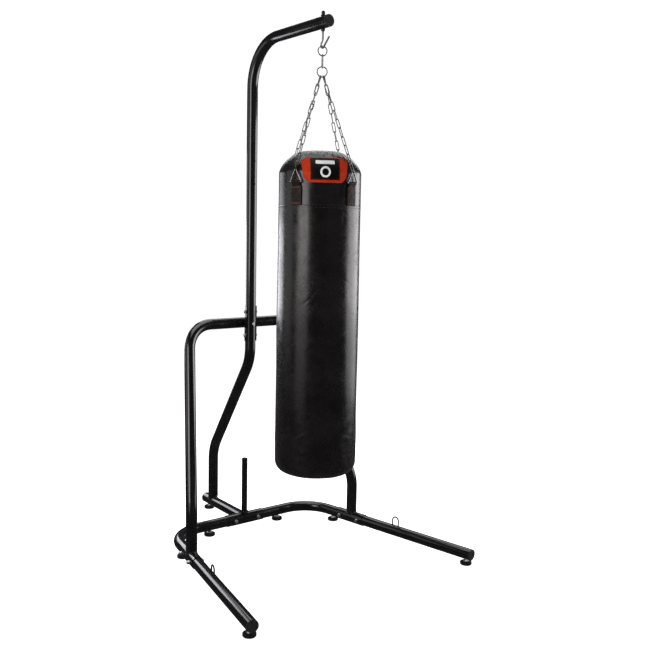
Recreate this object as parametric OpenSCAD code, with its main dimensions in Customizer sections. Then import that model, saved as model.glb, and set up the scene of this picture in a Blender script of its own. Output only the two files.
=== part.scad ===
// Heavy punching bag hanging from a free-standing tubular steel stand.
// Millimetres. +Z is up, -Y is the front (the boxer's side), +X is the stand's right.
// The origin is on the floor under the middle of the base's outline.

/* [Frame tubes] */
// Outside diameter of every frame tube
tube_d = 45; // [38:1:51]
// Wall thickness of the frame tubes
wall = 2; // [1.5:0.5:3]
// Outside diameter of the joining sleeves
sleeve_d = 50; // [46:1:56]
// Bore of the joining sleeves
sleeve_bore = 45.6; // [45.4:0.1:47]
// Outside diameter of the spigots that slide inside a tube
spigot_d = 40.6; // [38:0.1:40.8]

/* [Base] */
// Height of the base tubes' centre line above the floor
base_z = 43.5; // [40:0.5:60]
// Half the distance between the two side legs at the floor
leg_x = 402; // [350:1:450]
// Distance from the rear cross tube forward to the side legs
leg_y = 258; // [200:1:320]
// Half the distance between the two front feet
front_x = 511; // [450:1:560]
// Distance from the rear cross tube forward to the front feet
front_y = 852; // [700:1:950]
// How far each front arm runs on past its foot
arm_over = 24; // [20:1:60]
// Bend radius of the two rear corners
corner_r = 152; // [100:1:160]
// Length of the tee's cross sleeve
tee_len = 180; // [140:2:220]
// Distance from the cross tube back to the end of the rear stub
stub_len = 340; // [300:1:380]
// Distance from the cross tube back to the rear foot
rear_foot_y = 310; // [290:1:325]
// Length of the sleeves under the side legs
leg_sleeve = 150; // [120:2:180]
// Distance of the sleeve bolts from the leg's middle
sleeve_bolt = 50; // [40:1:60]

/* [Support frame] */
// Height of the cross bar's centre line
bar_z = 914; // [800:1:1000]
// Half width of the bar between its virtual corners
bar_x = 267; // [220:1:320]
// How far behind the rear cross tube the bar runs
bar_y = 12; // [0:1:40]
// Height where the side legs start to lean in
knee_z = 220; // [180:1:300]
// Bend radius where bar and legs meet
shoulder_bend = 118; // [90:1:150]
// Bend radius at the knees
knee_bend = 175; // [120:1:220]

/* [Mast] */
// Distance of the upright mast in front of the rear cross tube
mast_y = 36; // [30:1:45]
// Distance of the mast's foot behind the rear cross tube
mast_foot_y = 275; // [240:1:290]
// Height of the mast's upper kink
kink_hi = 757; // [700:1:800]
// Height of the mast's lower kink
kink_lo = 297; // [260:1:340]
// Bend radius of both kinks
kink_bend = 174; // [120:1:200]
// Height of the top arm's centre line
arm_z = 2075; // [1900:5:2300]
// Bend radius between mast and top arm
top_bend = 179; // [150:1:210]
// Reach of the top arm from the rear cross tube to its open end
arm_reach = 548; // [480:1:620]
// Height where the two mast halves meet
mast_split = 905; // [895:1:930]
// Spacing of the two accessory holes in the mast's front
acc_gap = 95; // [80:1:120]
// Height of the middle of the accessory holes
acc_z = 1550; // [1400:5:1650]

/* [Weight peg] */
// Diameter of the peg that holds weight plates
peg_d = 25; // [18:0.5:30]
// Height of the peg's top above the floor
peg_top = 314; // [250:1:350]

/* [Hanging gear] */
// Distance of the hook behind the arm's open end
hook_back = 36; // [30:1:50]
// Wire diameter of the open hook
hook_wire = 7; // [6:0.5:9]
// Wire diameter of both round rings and the joining link
ring_wire = 4.5; // [4:0.5:6]
// Centre line radius of the upper ring
ring1_r = 17; // [14:0.5:20]
// Centre line radius of the lower ring
ring2_r = 18.5; // [15:0.5:22]
// Height of the upper ring's centre
ring1_z = 1972.7; // [1950:0.1:1990]
// Height of the lower ring's centre
ring2_z = 1897.9; // [1880:0.1:1910]
// Wire diameter of the four chains
chain_wire = 3.5; // [3:0.5:5]
// Links in each chain
chain_links = 11; // [9:1:13]

/* [Bag] */
// Radius of the bag
bag_r = 155; // [140:1:180]
// Height of the bag's bottom
bag_lo = 395; // [300:1:500]
// Height of the bag's top
bag_hi = 1604; // [1500:1:1700]
// Size of the tapered shoulder at the top
shoulder = 80; // [60:1:100]
// Corner radius at the bottom
heel = 38; // [20:1:60]
// Thickness of the bag's skin
skin = 2.5; // [1.5:0.5:4]
// Width of each hanging strap
strap_w = 45; // [38:1:50]
// Height of each strap's lower end
strap_lo = 1406; // [1380:1:1440]
// Height of the triangle rings' base wires
tri_z = 1489; // [1470:1:1500]
// Direction of the badge, turned from the front towards the left
badge_turn = 30; // [0:1:60]

/* [Hidden] */
$fn = 48;
clear = 0.3;
bore_d = tube_d - 2*wall;
arm_u = [front_x - leg_x, -(front_y - leg_y), 0] / norm([front_x - leg_x, front_y - leg_y, 0]);
arm_n = [-arm_u[1], arm_u[0], 0];
corner_x = leg_x + arm_u[0]/arm_u[1]*leg_y;
cap_t = 3;
front_edge = front_y - arm_over*arm_u[1] - cap_t*arm_u[1] + (tube_d/2)*arm_u[0];
rear_edge = stub_len + cap_t;
cy = (front_edge - rear_edge)/2;
leg_p = [leg_x, cy - leg_y, base_z];
foot_p = [front_x, cy - front_y, base_z];
mast_p = cy - mast_y;
bar_p = cy + bar_y;
hook_p = cy - arm_reach + hook_back;
bolt_d = 8;
hole_d = 8.6;
bowl_r = 10;
bowl_z = ring1_z + ring1_r - ring_wire/2 - hook_wire/2 - 0.15 + bowl_r;
tee_bolt = 57;
front_strap = 40;
strap_turns = [-badge_turn - front_strap, -badge_turn + front_strap, -badge_turn + 180 - front_strap, -badge_turn + 180 + front_strap];
tri_r = bag_r + 5.2;
tri_h = 47;
tri_wire = 5;
tri_w = strap_w + 4;
ring1_turn = -20;
ring2_turn = -30;

black = [0.06, 0.06, 0.065];
zinc = [0.78, 0.79, 0.8];
skin_black = [0.09, 0.09, 0.095];

// Which sub-part to draw

// ---------- helpers ----------
function dirv(a, b) = (b - a)/norm(b - a);
function turn(u, v) = acos(max(-1, min(1, u*v)));
function tang(u, v, r) = r*tan(turn(u, v)/2);

module rod(a, b, d) {
  v = b - a;
  translate(a) rotate([0, acos(v[2]/norm(v)), atan2(v[1], v[0])]) cylinder(h = norm(v), d = d);
}
// straight piece of tube from a to b
module straight(a, b, od, id) {
  v = b - a;
  translate(a) rotate([0, acos(v[2]/norm(v)), atan2(v[1], v[0])]) difference() {
    cylinder(h = norm(v), d = od);
    if (id > 0) translate([0, 0, -1]) cylinder(h = norm(v) + 2, d = id);
  }
}
// bend at p, coming from direction u and leaving in direction v
module bend(p, u, v, r, od, id) {
  t = tang(u, v, r);
  n = (v - (u*v)*u)/norm(v - (u*v)*u);
  c = p - u*t + n*r;
  w = cross(-n, u);
  multmatrix([[-n[0], u[0], w[0], c[0]], [-n[1], u[1], w[1], c[1]], [-n[2], u[2], w[2], c[2]], [0, 0, 0, 1]])
    rotate_extrude(angle = turn(u, v)) translate([r, 0]) difference() {
      circle(d = od);
      if (id > 0) circle(d = id);
    }
}
// tube through the points, with bend radius r[i] at each inner point
module bent(pts, r, od, id) {
  n = len(pts);
  us = [for (i = [0:n - 2]) dirv(pts[i], pts[i + 1])];
  ts = [for (i = [0:n - 1]) (i == 0 || i == n - 1) ? 0 : tang(us[i - 1], us[i], r[i - 1])];
  for (i = [0:n - 2]) straight(pts[i] + us[i]*ts[i], pts[i + 1] - us[i]*ts[i + 1], od, id);
  for (i = [1:n - 2]) bend(pts[i], us[i - 1], us[i], r[i - 1], od, id);
  // seam beads, a hair proud, where straight and bent lengths meet
  for (i = [1:n - 2]) {
    bead(pts[i] - us[i - 1]*ts[i], us[i - 1], od, id);
    bead(pts[i] + us[i]*ts[i], us[i], od, id);
  }
}
module bead(p, u, od, id) straight(p - u*0.6, p + u*0.6, od + 0.16, id > 0 ? id - 0.16 : 0);
// bolt: head outside a, shank running from a to b
module bolt(a, b, d, af, hh) {
  u = dirv(a, b);
  rod(a - u*hh/2, b, d);
  v = b - a;
  translate(a - u*hh) rotate([0, acos(v[2]/norm(v)), atan2(v[1], v[0])]) cylinder(h = hh, r = af/sqrt(3), $fn = 6);
}
module nut(a, u, d, af, hh) {
  translate(a) rotate([0, acos(u[2]), atan2(u[1], u[0])]) difference() {
    cylinder(h = hh, r = af/sqrt(3), $fn = 6);
    translate([0, 0, -1]) cylinder(h = hh + 2, d = d + 0.5);
  }
}
module washer(a, u, id, od, t) {
  translate(a) rotate([0, acos(u[2]), atan2(u[1], u[0])]) difference() {
    cylinder(h = t, d = od);
    translate([0, 0, -1]) cylinder(h = t + 2, d = id);
  }
}
module both() { children(); mirror([1, 0, 0]) children(); }

// ---------- base ----------
module base_tee() color(black) difference() {
  union() {
    translate([-tee_len/2, cy, base_z]) rotate([0, 90, 0]) cylinder(h = tee_len, d = sleeve_d);
    straight([0, cy, base_z], [0, cy + stub_len, base_z], tube_d, 0);
    translate([0, cy + mast_foot_y, base_z]) cylinder(h = 110, d = spigot_d);
  }
  translate([-tee_len/2 - 1, cy, base_z]) rotate([0, 90, 0]) cylinder(h = tee_len + 2, d = sleeve_bore);
  rod([0, cy + sleeve_d/2 + 3, base_z], [0, cy + stub_len + 1, base_z], bore_d);
  translate([0, cy + mast_foot_y, base_z]) cylinder(h = 111, d = spigot_d - 2*wall);
  for (s = [-1, 1]) rod([s*tee_bolt, cy - 40, base_z], [s*tee_bolt, cy + 40, base_z], hole_d);
  rod([0, cy + rear_foot_y, 0], [0, cy + rear_foot_y, base_z], hole_d);
}

module corner_tube() difference() {
  bent([[22, cy, base_z], [corner_x, cy, base_z], leg_p - arm_u*0.6], [corner_r], tube_d, bore_d);
  rod([tee_bolt, cy - 40, base_z], [tee_bolt, cy + 40, base_z], hole_d);
  rod(leg_p - arm_u*sleeve_bolt - arm_n*40, leg_p - arm_u*sleeve_bolt + arm_n*40, hole_d);
  rod([175, cy, 0], [175, cy, base_z], hole_d);
  rod(side_foot(), side_foot() + [0, 0, base_z], hole_d);
}
function side_foot() = [leg_x, cy - leg_y, 0] - arm_u*108.8;
module corner_tube_right() color(black) corner_tube();
module corner_tube_left() color(black) mirror([1, 0, 0]) corner_tube();

module front_arm() difference() {
  straight(leg_p + arm_u*0.6, foot_p + arm_u*arm_over, tube_d, bore_d);
  rod(leg_p + arm_u*sleeve_bolt - arm_n*40, leg_p + arm_u*sleeve_bolt + arm_n*40, hole_d);
  rod([foot_p[0], foot_p[1], 0], foot_p, hole_d);
}
module front_arm_right() color(black) front_arm();
module front_arm_left() color(black) mirror([1, 0, 0]) front_arm();

module weight_peg() color(black) {
  translate([0, cy, base_z + sleeve_d/2 + clear]) cylinder(h = 6, d = 34);
  translate([0, cy, base_z + sleeve_d/2 + clear]) cylinder(h = peg_top - base_z - sleeve_d/2 - clear - 2, d = peg_d);
  translate([0, cy, peg_top - 2]) cylinder(h = 2, d1 = peg_d, d2 = peg_d - 4);
}

// inverted U eyelet welded across the top of an arm
module arm_loop() {
  p = leg_p + (foot_p - leg_p)*0.41 + [0, 0, tube_d/2 - 1];
  translate(p) rotate([0, 0, atan2(arm_u[1], arm_u[0])]) {
    for (s = [-1, 1]) translate([s*15, 0, 1.4]) cylinder(h = 21.6, d = 6);
    translate([0, 0, 23]) rotate([90, 0, 0]) rotate_extrude(angle = 180) translate([15, 0]) circle(d = 6);
  }
}
module arm_loop_right() color(black) arm_loop();
module arm_loop_left() color(black) mirror([1, 0, 0]) arm_loop();

// domed plastic plug: rim outside the tube, ribbed skirt inside
module plug(a, u) translate(a) rotate([0, acos(u[2]), atan2(u[1], u[0])]) {
  translate([0, 0, 0.2]) cylinder(h = cap_t - 1.2, d = tube_d);
  translate([0, 0, cap_t - 1]) cylinder(h = 1, d1 = tube_d, d2 = tube_d - 4);
  difference() {
    translate([0, 0, -12]) cylinder(h = 12.5, d = bore_d - 0.4);
    translate([0, 0, -13]) cylinder(h = 13, d = bore_d - 4.4);
  }
}
module cap_front_right() color(black) plug(foot_p + arm_u*arm_over, arm_u);
module cap_front_left() color(black) mirror([1, 0, 0]) plug(foot_p + arm_u*arm_over, arm_u);
module cap_rear() color(black) plug([0, cy + stub_len, base_z], [0, 1, 0]);
module cap_top_arm() color(black) plug([0, cy - arm_reach, arm_z], [0, -1, 0]);

// the six cross bolts of the base: two in the tee, two in each leg sleeve, heads on the outer or front side
function base_bolt_ends() = [for (s = [-1, 1]) [[s*tee_bolt, cy, base_z], [0, 1, 0]]];
reach_out = sleeve_d/2 + 1.9;
module base_bolts() color(zinc) {
  for (e = base_bolt_ends()) bolt(e[0] - e[1]*reach_out, e[0] + e[1]*(reach_out + 9), bolt_d, 13, 5.3);
  both() for (k = [-1, 1])
    bolt(leg_p + arm_u*k*sleeve_bolt - arm_n*reach_out, leg_p + arm_u*k*sleeve_bolt + arm_n*(reach_out + 9), bolt_d, 13, 5.3);
}
module base_nuts() color(zinc) {
  for (e = base_bolt_ends()) nut(e[0] + e[1]*(reach_out + 0.1), e[1], bolt_d, 13, 6.5);
  both() for (k = [-1, 1])
    nut(leg_p + arm_u*k*sleeve_bolt + arm_n*(reach_out + 0.1), arm_n, bolt_d, 13, 6.5);
}
module base_washers() color(zinc) {
  for (e = base_bolt_ends()) for (k = [-1, 1]) washer(e[0] + e[1]*k*(sleeve_d/2 + 0.2), e[1]*k, 8.6, 16, 1.6);
  both() for (k = [-1, 1]) for (j = [-1, 1])
    washer(leg_p + arm_u*k*sleeve_bolt + arm_n*j*(sleeve_d/2 + 0.2), arm_n*j, 8.6, 16, 1.6);
}

// ---------- support frame and mast ----------
module support_frame() color(black) difference() {
  union() {
    bent([[-leg_x, leg_p[1], base_z + 18], [-leg_x, leg_p[1], knee_z], [-bar_x, bar_p, bar_z],
          [bar_x, bar_p, bar_z], [leg_x, leg_p[1], knee_z], [leg_x, leg_p[1], base_z + 18]],
         [knee_bend, shoulder_bend, shoulder_bend, knee_bend], tube_d, bore_d);
    both() rod(leg_p - arm_u*leg_sleeve/2, leg_p + arm_u*leg_sleeve/2, sleeve_d);
  }
  both() {
    rod(leg_p - arm_u*(leg_sleeve/2 + 1), leg_p + arm_u*(leg_sleeve/2 + 1), sleeve_bore);
    for (k = [-1, 1]) rod(leg_p + arm_u*k*sleeve_bolt - arm_n*40, leg_p + arm_u*k*sleeve_bolt + arm_n*40, hole_d);
  }
  rod([0, bar_p - 40, bar_z], [0, bar_p + 40, bar_z], hole_d);
}

mast_pts = [[0, cy + mast_foot_y, base_z + tube_d/2 + 1], [0, cy + mast_foot_y, kink_lo], [0, mast_p, kink_hi], [0, mast_p, mast_split]];
cross_gap = 50;
module lower_mast() color(black) difference() {
  bent(mast_pts, [kink_bend, kink_bend], tube_d, bore_d);
  rod([-40, mast_p, bar_z - cross_gap], [40, mast_p, bar_z - cross_gap], hole_d);
}
module upper_mast() color(black) difference() {
  union() {
    bent([[0, mast_p, mast_split + 0.4], [0, mast_p, arm_z], [0, cy - arm_reach, arm_z]], [top_bend], tube_d, bore_d);
    straight([0, mast_p, mast_split - 85], [0, mast_p, mast_split + 30], spigot_d, spigot_d - 2*wall);
    straight([0, mast_p, mast_split + 10], [0, mast_p, mast_split + 30], bore_d + 0.5, spigot_d - 1);
  }
  for (k = [-1, 1]) rod([-40, mast_p, bar_z + k*cross_gap], [40, mast_p, bar_z + k*cross_gap], hole_d);
  rod([0, mast_p - 40, bar_z], [0, mast_p + 40, bar_z], hole_d);
  for (k = [-1, 1]) rod([0, mast_p - 40, acc_z + k*acc_gap/2], [0, mast_p, acc_z + k*acc_gap/2], 8.5);
  rod([0, hook_p, arm_z - 40], [0, hook_p, arm_z + 40], hole_d);
}

// U-shaped saddle with a round back, welded to the bar; the mast sits in it
plate = 2.6;
module mast_bracket() color(black) difference() {
  translate([0, mast_p, bar_z - 75]) linear_extrude(150) difference() {
    union() {
      circle(r = tube_d/2 + 0.2 + plate);
      translate([-tube_d/2 - 0.2 - plate, -10]) square([tube_d + 0.4 + 2*plate, 10]);
    }
    circle(r = tube_d/2 + 0.2);
    translate([-tube_d/2 - 0.2, -40]) square([tube_d + 0.4, 40]);
    translate([-40, -50]) square([80, 40]);
  }
  for (k = [-1, 1]) rod([-40, mast_p, bar_z + k*cross_gap], [40, mast_p, bar_z + k*cross_gap], hole_d);
  rod([0, mast_p - 40, bar_z], [0, mast_p + 60, bar_z], hole_d);
}
side_out = tube_d/2 + plate + 0.2 + 0.2;
module bracket_cross_bolts() color(zinc) for (k = [-1, 1])
  bolt([side_out, mast_p, bar_z + k*cross_gap], [-side_out - 10, mast_p, bar_z + k*cross_gap], bolt_d, 13, 5.3);
module bracket_through_bolt() color(zinc)
  bolt([0, mast_p - tube_d/2 - 0.2, bar_z], [0, bar_p + tube_d/2 + 10, bar_z], bolt_d, 13, 5.3);
module bracket_nuts() color(zinc) {
  for (k = [-1, 1]) nut([-side_out, mast_p, bar_z + k*cross_gap], [-1, 0, 0], bolt_d, 13, 6.5);
  nut([0, bar_p + tube_d/2 + 0.2, bar_z], [0, 1, 0], bolt_d, 13, 6.5);
}

// ---------- levelling feet ----------
module pad(x, y) color([0.05, 0.05, 0.05]) translate([x, y, 0]) difference() {
  union() {
    cylinder(h = 2, d1 = 44, d2 = 47);
    translate([0, 0, 2]) cylinder(h = 8, d = 47);
    translate([0, 0, 10]) cylinder(h = 2.5, d1 = 47, d2 = 39);
  }
  translate([0, 0, 5]) cylinder(h = 10, d = 14);
}
module stud(x, y) color(zinc) translate([x, y, 0]) {
  translate([0, 0, 5.3]) cylinder(h = 3.2, d = 13.4);
  translate([0, 0, 6]) cylinder(h = 32, d = bolt_d);
  translate([0, 0, 12.8]) cylinder(h = 2, d = 26);
  translate([0, 0, 14.8]) cylinder(h = 5.8, r = 13/sqrt(3), $fn = 6);
}
sf = side_foot();
module foot_pad_front_left() pad(-front_x, foot_p[1]);
module foot_pad_front_right() pad(front_x, foot_p[1]);
module foot_pad_side_left() pad(-sf[0], sf[1]);
module foot_pad_side_right() pad(sf[0], sf[1]);
module foot_pad_cross_left() pad(-175, cy);
module foot_pad_cross_right() pad(175, cy);
module foot_pad_rear() pad(0, cy + rear_foot_y);
module foot_stud_front_left() stud(-front_x, foot_p[1]);
module foot_stud_front_right() stud(front_x, foot_p[1]);
module foot_stud_side_left() stud(-sf[0], sf[1]);
module foot_stud_side_right() stud(sf[0], sf[1]);
module foot_stud_cross_left() stud(-175, cy);
module foot_stud_cross_right() stud(175, cy);
module foot_stud_rear() stud(0, cy + rear_foot_y);

// ---------- hook, rings and link ----------
// threaded shank through the arm, a small jog back, a round bowl and a straight tail rising to the front
jog_r = 12;
jog_a = 40;
jog_l = (bowl_r*cos(jog_a) - jog_r*(1 - cos(jog_a)))/sin(jog_a);
bowl_top = [0, hook_p + bowl_r*cos(jog_a), bowl_z + bowl_r*sin(jog_a)];
jog_dir = [0, sin(jog_a), -cos(jog_a)];
jog_start = bowl_top - jog_dir*jog_l;
shank_lo = jog_start[2] + jog_r*sin(jog_a);
tail_from = [0, hook_p - bowl_r*cos(45), bowl_z - bowl_r*sin(45)];
tail_dir = [0, -sin(45), sin(45)];
module hook() color(zinc) {
  rod([0, hook_p, arm_z - tube_d/2 - 14], [0, hook_p, arm_z + tube_d/2 + 18], bolt_d);
  rod([0, hook_p, shank_lo], [0, hook_p, arm_z - tube_d/2 - 10], hook_wire);
  bead([0, hook_p, shank_lo], [0, 0, 1], hook_wire, 0);
  bead(jog_start, jog_dir, hook_wire, 0);
  bead(bowl_top, jog_dir, hook_wire, 0);
  bead(tail_from, tail_dir, hook_wire, 0);
  translate([0, hook_p + jog_r, shank_lo]) rotate([90, 0, 90]) rotate([0, 0, 180]) rotate_extrude(angle = jog_a) translate([jog_r, 0]) circle(d = hook_wire);
  rod(jog_start, bowl_top, hook_wire);
  translate([0, hook_p, bowl_z]) rotate([90, 0, 90]) rotate([0, 0, -135]) rotate_extrude(angle = 135 + jog_a) translate([bowl_r, 0]) circle(d = hook_wire);
  rod(tail_from, tail_from + tail_dir*44, hook_wire);
  translate(tail_from + tail_dir*44) sphere(d = hook_wire - 0.4);
}
module hook_nuts() color(zinc) {
  for (k = [0, 1]) nut([0, hook_p, arm_z + tube_d/2 + 2.0 + k*6.7], [0, 0, 1], bolt_d, 13, 6.5);
  nut([0, hook_p, arm_z - tube_d/2 - 2.0], [0, 0, -1], bolt_d, 13, 6.5);
}
module hook_washers() color(zinc) {
  washer([0, hook_p, arm_z + tube_d/2 + 0.2], [0, 0, 1], 8.6, 18, 1.6);
  washer([0, hook_p, arm_z - tube_d/2 - 0.2], [0, 0, -1], 8.6, 18, 1.6);
}

module ring(z, r, turn_z) translate([0, hook_p, z]) rotate([0, 0, turn_z]) rotate([90, 0, 0]) rotate_extrude() translate([r, 0]) circle(d = ring_wire);
module upper_ring() color(zinc) ring(ring1_z, ring1_r, ring1_turn);
module lower_ring() color(zinc) ring(ring2_z, ring2_r, ring2_turn);

// one oval link: long axis +Z from 0 to pitch, width along X
module oval(inner, half, d) {
  for (s = [-1, 1]) translate([s*half, 0, half]) cylinder(h = inner - 2*half + d, d = d);
  translate([0, 0, inner - half + d]) rotate([90, 0, 0]) rotate_extrude(angle = 180) translate([half, 0]) circle(d = d);
  translate([0, 0, half]) rotate([90, 0, 0]) rotate([0, 0, 180]) rotate_extrude(angle = 180) translate([half, 0]) circle(d = d);
}
link_lo = ring2_z + ring2_r - ring_wire - 0.15;
link_hi = ring1_z - ring1_r + ring_wire + 0.15;
module joining_link() color(zinc)
  translate([0, hook_p, link_lo]) rotate([0, 0, (ring1_turn + ring2_turn)/2 + 90]) oval(link_hi - link_lo - ring_wire, 6.9, ring_wire);

// ---------- chains ----------
function out(a) = [sin(a), -cos(a), 0];
chain_slot = [-8.6, 4.3, 8.6, -4.3];
function slot_angle(i) = chain_slot[i]/ring2_r*180/PI;
function chain_a(i) = [0, hook_p, ring2_z] + [cos(ring2_turn), sin(ring2_turn), 0]*ring2_r*sin(slot_angle(i)) + [0, 0, -ring2_r*cos(slot_angle(i))];
function chain_b(i) = [0, hook_p, tri_z + tri_h - tri_wire] + out(strap_turns[i])*(tri_r + 2.6);
// centre of the first link's top wire sits just above the ring's wire; the last one's just under the triangle's apex wire
module chain(i) color(zinc) {
  a = chain_a(i);
  b = chain_b(i);
  d = dirv(a, b);
  gap_a = (ring_wire + chain_wire)/2 + 0.15;
  gap_b = (tri_wire + chain_wire)/2 + 0.15;
  total = norm(b - a) + gap_a + gap_b;
  inner = (total + (chain_links - 1)*(chain_wire + 0.2))/chain_links;
  pitch = inner - chain_wire - 0.2;
  az = atan2(d[1], d[0]);
  ly = [-sin(az), cos(az), 0];
  lx = cross(ly, d);
  rn = [sin(ring2_turn), -cos(ring2_turn), 0];
  roll0 = atan2(rn*ly, rn*lx);
  twist0 = (0 - roll0) - 90*(chain_links - 1);
  twist = twist0 - 180*round(twist0/180);
  step = 90 + twist/(chain_links - 1);
  translate(a - d*gap_a) rotate([0, acos(d[2]), az])
    for (k = [0:chain_links - 1]) rotate([0, 0, roll0 + step*k]) translate([0, 0, k*pitch]) oval(inner - chain_wire, 5.25, chain_wire);
}
module chain_front_left() chain(0);
module chain_front_right() chain(1);
module chain_rear_right() chain(2);
module chain_rear_left() chain(3);

// ---------- bag ----------
module around(a) translate([0, hook_p, 0]) rotate([0, 0, a]) children();

module triangle() {
  h = tri_h - tri_wire;
  p = [[-tri_w/2, 0, 0], [tri_w/2, 0, 0], [3, -2.6, h], [-3, -2.6, h]];
  for (k = [0:3]) { rod(p[k], p[(k + 1)%4], tri_wire); translate(p[k]) sphere(d = tri_wire + 0.3); }
}
module triangle_rings() color(zinc) for (a = strap_turns) around(a) translate([0, -tri_r, tri_z]) triangle();

// flat web sewn to the skin below, closed loop around the triangle's base wire above
module hanging_straps() color([0.13, 0.08, 0.075]) for (a = strap_turns) around(a) {
  difference() {
    union() {
      w = strap_w/2/(bag_r + 2)*180/PI;
      rotate([0, 0, -90 - w]) rotate_extrude(angle = 2*w) translate([bag_r + 0.3, strap_lo]) square([4.4, tri_z - strap_lo]);
      translate([-(strap_w - 8)/2, -tri_r, tri_z]) rotate([0, 90, 0]) cylinder(h = strap_w - 8, d = 9.4);
    }
    translate([-strap_w/2 - 5, -tri_r, tri_z]) rotate([0, 90, 0]) cylinder(h = strap_w + 10, d = tri_wire + 0.8);
    translate([-strap_w/2 - 5, -tri_r - 3.2, tri_z - 3.2]) cube([9, 8, 8]);
    translate([strap_w/2 - 4, -tri_r - 3.2, tri_z - 3.2]) cube([9, 8, 8]);
    cylinder(h = 2000, r = bag_r + 0.3);
  }
}

// half outline of the bag grown by g: soft tapered shoulder above, rounded heel below
power = 2/1.5;
function arc(cx, cz, s, g) = [for (k = [0:12]) [cx + (s + g)*pow(sin(k*7.5), power), cz + (s + g)*pow(cos(k*7.5), power)]];
function low(g) = [for (k = [0:8]) [bag_r - heel + (heel + g)*cos(k*11.25), bag_lo + heel - (heel + g)*sin(k*11.25)]];
module outline(g) polygon(concat([[0, bag_hi + g]], arc(bag_r - shoulder, bag_hi - shoulder, shoulder, g), low(g), [[0, bag_lo - g]]));
module bag_body(g) translate([0, hook_p, 0]) rotate_extrude() outline(g);

mouth = 72;
heel_hole = 112;
module bag_skin() color(skin_black) difference() {
  bag_body(0);
  bag_body(-skin);
  translate([0, hook_p, bag_hi - 20]) cylinder(h = 40, r = mouth);
  translate([0, hook_p, bag_lo - 20]) cylinder(h = 30, r = heel_hole);
}
module top_panel() color(skin_black) translate([0, hook_p, bag_hi - skin]) cylinder(h = skin, r = mouth - clear);
module base_panel() color(skin_black) translate([0, hook_p, bag_lo]) cylinder(h = skin, r = heel_hole - clear);
module bag_filling() color([0.4, 0.4, 0.4]) bag_body(-skin - clear);

// badge: a curved trapezoid on the shoulder, built in three thin layers
module layer(g0, g1, shape) intersection() {
  difference() { bag_body(g1); bag_body(g0); }
  around(-badge_turn) translate([0, -60, 0]) rotate([90, 0, 0]) linear_extrude(140)
    polygon(shape);
}
module badge_backing() color([0.8, 0.16, 0.05]) layer(0.4, 1.6, [[-62, 1487], [62, 1487], [78, 1504], [86, 1564], [60, 1577], [-60, 1577], [-86, 1564], [-78, 1504]]);
module badge_panel() color([0.05, 0.05, 0.05]) layer(2.0, 3.2, [[-53, 1496], [53, 1496], [53, 1574], [-53, 1574]]);
module badge_marks() color([0.85, 0.85, 0.85]) intersection() {
  difference() { bag_body(4.4); bag_body(3.6); }
  around(-badge_turn) translate([0, -60, 0]) rotate([90, 0, 0]) linear_extrude(140) {
    translate([-34, 1551]) square([68, 13]);
    translate([0, 1524]) difference() { circle(r = 19); circle(r = 12); }
  }
}

// ---------- draw ----------
base_tee();
corner_tube_left();
corner_tube_right();
front_arm_left();
front_arm_right();
support_frame();
lower_mast();
upper_mast();
mast_bracket();
weight_peg();
arm_loop_left();
arm_loop_right();
cap_front_left();
cap_front_right();
cap_rear();
cap_top_arm();
base_bolts();
base_nuts();
base_washers();
bracket_cross_bolts();
bracket_through_bolt();
bracket_nuts();
hook();
hook_nuts();
hook_washers();
foot_pad_front_left();
foot_pad_front_right();
foot_pad_side_left();
foot_pad_side_right();
foot_pad_cross_left();
foot_pad_cross_right();
foot_pad_rear();
foot_stud_front_left();
foot_stud_front_right();
foot_stud_side_left();
foot_stud_side_right();
foot_stud_cross_left();
foot_stud_cross_right();
foot_stud_rear();
upper_ring();
joining_link();
lower_ring();
chain_front_left();
chain_front_right();
chain_rear_left();
chain_rear_right();
triangle_rings();
hanging_straps();
bag_skin();
top_panel();
base_panel();
bag_filling();
badge_backing();
badge_panel();
badge_marks();
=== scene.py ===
import math

import bpy
import numpy as np
from mathutils import Matrix, Vector, noise


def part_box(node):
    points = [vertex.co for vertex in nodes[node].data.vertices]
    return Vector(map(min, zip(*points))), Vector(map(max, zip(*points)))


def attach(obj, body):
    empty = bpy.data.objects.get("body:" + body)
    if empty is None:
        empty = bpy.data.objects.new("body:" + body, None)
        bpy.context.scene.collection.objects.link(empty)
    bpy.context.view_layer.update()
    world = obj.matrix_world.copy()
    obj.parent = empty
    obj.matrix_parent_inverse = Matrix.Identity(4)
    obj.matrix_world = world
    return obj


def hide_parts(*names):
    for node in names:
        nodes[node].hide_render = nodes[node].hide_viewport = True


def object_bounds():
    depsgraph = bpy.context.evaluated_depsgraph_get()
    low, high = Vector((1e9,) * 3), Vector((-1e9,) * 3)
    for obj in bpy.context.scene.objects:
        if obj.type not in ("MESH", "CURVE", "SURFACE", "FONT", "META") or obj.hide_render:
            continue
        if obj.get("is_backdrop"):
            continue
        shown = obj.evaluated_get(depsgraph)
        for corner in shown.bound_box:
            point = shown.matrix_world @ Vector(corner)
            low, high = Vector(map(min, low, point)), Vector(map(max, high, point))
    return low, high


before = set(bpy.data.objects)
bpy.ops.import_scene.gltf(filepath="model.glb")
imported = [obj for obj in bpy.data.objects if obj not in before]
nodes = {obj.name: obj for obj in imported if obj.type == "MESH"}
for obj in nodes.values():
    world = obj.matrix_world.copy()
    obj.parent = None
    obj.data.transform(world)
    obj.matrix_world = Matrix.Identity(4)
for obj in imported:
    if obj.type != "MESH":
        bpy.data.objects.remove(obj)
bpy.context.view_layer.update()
scene = bpy.context.scene
MM = 0.001

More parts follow.
